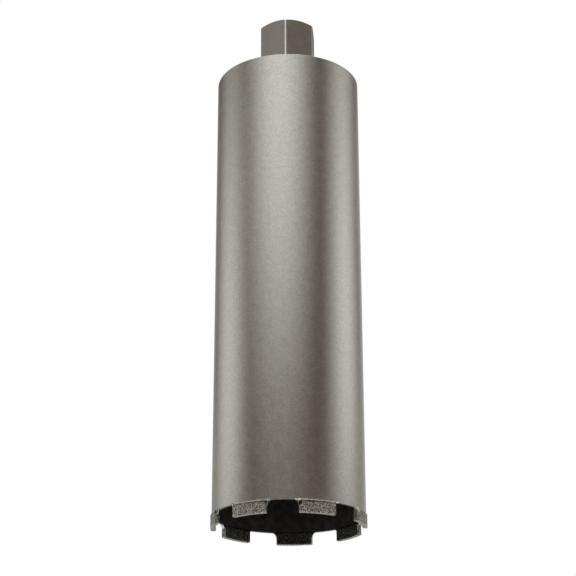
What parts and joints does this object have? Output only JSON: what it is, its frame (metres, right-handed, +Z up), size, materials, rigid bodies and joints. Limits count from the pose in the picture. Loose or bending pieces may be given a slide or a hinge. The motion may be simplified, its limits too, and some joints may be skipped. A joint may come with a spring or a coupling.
{
  "type": "diamond core bit",
  "caption": "Wet diamond core bit for concrete: a long steel tube with brazed cutting segments round its open end and a hexagonal threaded hub on its closed end.",
  "frame": {"origin": "centre of the crown, in the plane of the segments' cutting faces", "axes": "+Z up the tube's axis to the threaded hub; +Y through the middle of segment_1; a corner of the hub's hexagon and the middle of a gullet lie on -Y"},
  "size_m": [0.1146, 0.1138, 0.4153],
  "materials": {
    "tube_steel": "satin, bead blasted, warm grey",
    "plate_steel": "turned, satin",
    "hub_steel": "satin, machined flats and turned corners",
    "weld_steel": "weld metal with fine ripples",
    "segment_matrix": "sintered metal matrix with diamond grit, matt and rough",
    "silver_solder": "silver solder as it froze, smooth"
  },
  "bodies": {
    "root": {"tube": "tube_steel", "end_plate": "plate_steel", "hub": "hub_steel", "hub_weld": "weld_steel", "plate_weld": "weld_steel", "segment_1": "segment_matrix", "segment_2": "segment_matrix", "segment_3": "segment_matrix", "segment_4": "segment_matrix", "segment_5": "segment_matrix", "segment_6": "segment_matrix", "segment_7": "segment_matrix", "segment_braze_1": "silver_solder", "segment_braze_2": "silver_solder", "segment_braze_3": "silver_solder", "segment_braze_4": "silver_solder", "segment_braze_5": "silver_solder", "segment_braze_6": "silver_solder", "segment_braze_7": "silver_solder"}
  },
  "joints": []
}
